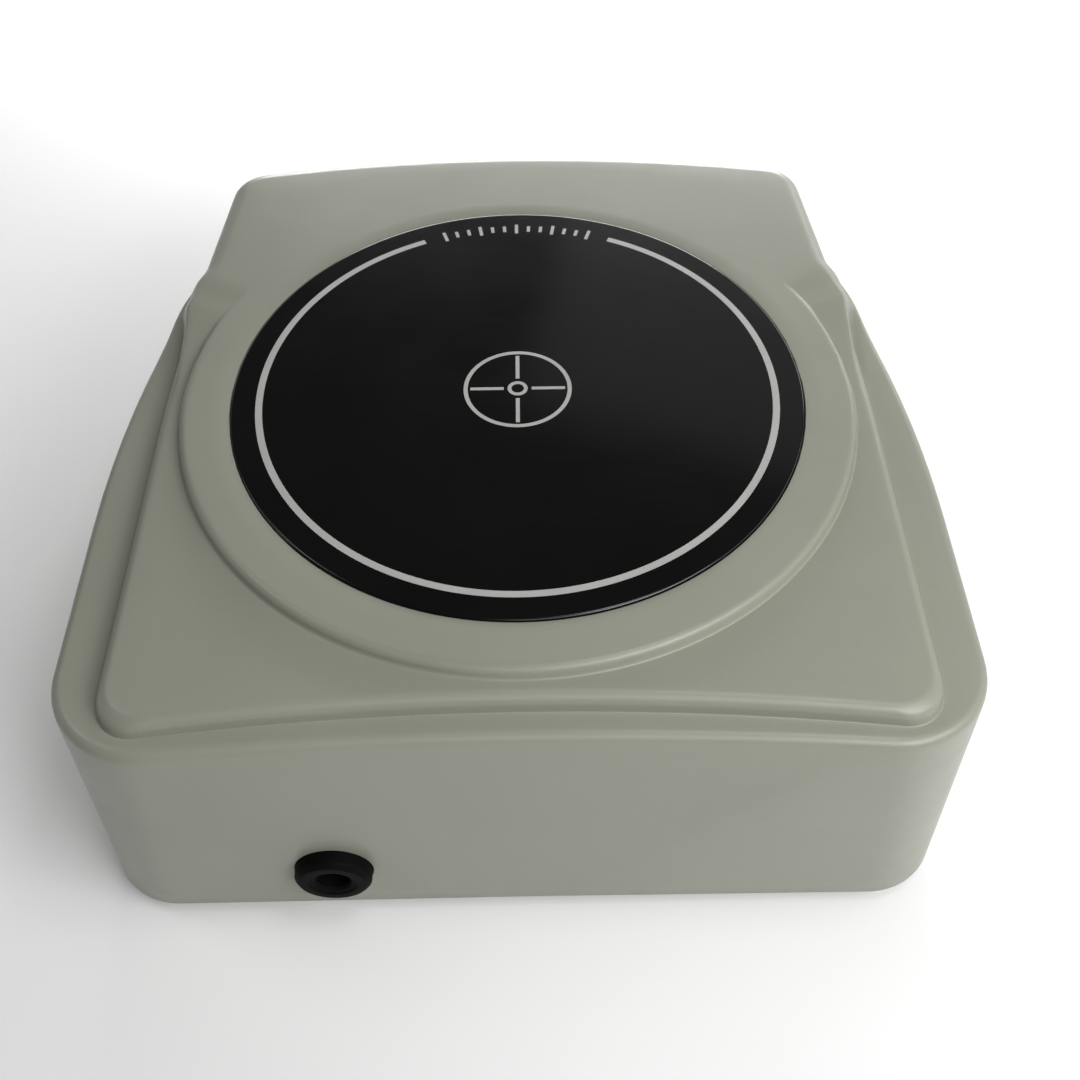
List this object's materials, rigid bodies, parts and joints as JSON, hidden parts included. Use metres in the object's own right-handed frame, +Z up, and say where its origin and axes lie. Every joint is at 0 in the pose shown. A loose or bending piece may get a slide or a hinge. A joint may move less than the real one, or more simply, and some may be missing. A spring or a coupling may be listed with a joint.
{
  "type": "magnetic stirrer",
  "caption": "Compact magnetic stirrer: moulded housing with a round black work plate, motor-driven magnets below it, a turning speed knob, rubber feet and a rear power socket.",
  "frame": {"origin": "middle of the overall footprint, on the bench under the rubber feet; the round work plate's axis is 6.0 mm behind it, at Y = -0.006 m", "axes": "+Z up through the work plate, +Y towards the control panel with the speed knob, -Y towards the rear wall with the power socket, X across the housing"},
  "size_m": [0.1584, 0.1728, 0.0615],
  "materials": {
    "housing": "satin moulded ABS, warm grey-green",
    "base_plastic": "fine textured",
    "work_plate": "high gloss black with a pale printed ring and target",
    "tape": "foam tape",
    "rubber": "matte",
    "zinc": "zinc plated",
    "steel": "satin",
    "aluminium": "satin",
    "nickel": "nickel plated",
    "brass": "plain",
    "panel_label": "satin black label with a pale dial scale",
    "black_plastic": "satin",
    "pale_print": "plain",
    "led_red": "clear tinted",
    "circuit_board": "solder mask",
    "capacitor_sleeve": "shrink sleeve",
    "nylon": "natural nylon",
    "red_wire": "PVC",
    "black_wire": "PVC",
    "grey_wire": "PVC"
  },
  "bodies": {
    "case": {"housing": "housing", "base_plate": "base_plastic", "work_plate": "work_plate", "plate_tape": "tape", "foot_1": "rubber", "foot_2": "rubber", "foot_3": "rubber", "foot_4": "rubber", "base_screw_1": "zinc", "base_screw_2": "zinc", "base_screw_3": "zinc", "base_screw_4": "zinc", "bracket_screw_1": "zinc", "bracket_screw_2": "zinc", "bracket_screw_3": "zinc", "bracket_screw_4": "zinc", "motor_screw_1": "zinc", "motor_screw_2": "zinc", "board_screw_1": "zinc", "board_screw_2": "zinc", "board_screw_3": "zinc", "board_screw_4": "zinc", "motor_can": "zinc", "pot_body": "zinc", "pot_washer": "zinc", "jack_washer": "zinc", "motor_bracket": "steel", "heat_sink": "aluminium", "pot_nut": "nickel", "jack_nut": "nickel", "led_bezel": "nickel", "motor_terminal_1": "brass", "motor_terminal_2": "brass", "jack_pin": "brass", "panel_label": "panel_label", "jack_body": "black_plastic", "transistor": "black_plastic", "led": "led_red", "control_board": "circuit_board", "capacitor_1": "capacitor_sleeve", "capacitor_2": "capacitor_sleeve", "power_header": "nylon", "motor_header": "nylon", "pot_header": "nylon", "led_header": "nylon", "jack_wire_red": "red_wire", "motor_wire_red": "red_wire", "jack_wire_black": "black_wire", "motor_wire_black": "black_wire", "pot_cable": "grey_wire", "led_cable": "grey_wire"},
    "rotor": {"motor_shaft": "steel", "magnet_carrier": "aluminium", "magnet_1": "nickel", "magnet_2": "nickel", "carrier_set_screw": "steel"},
    "knob": {"pot_shaft": "aluminium", "speed_knob": "black_plastic", "knob_pointer": "pale_print"}
  },
  "joints": [
    {"name": "rotor_spin", "type": "hinge", "parent": "case", "child": "rotor", "pos_m": [0, -0.006, 0.045], "axis": [0, 0, 1], "continuous": true},
    {"name": "speed_turn", "type": "hinge", "parent": "case", "child": "knob", "pos_m": [0, 0.078, 0.0305], "axis": [0, -1, 0], "range_deg": [0, 300]}
  ]
}
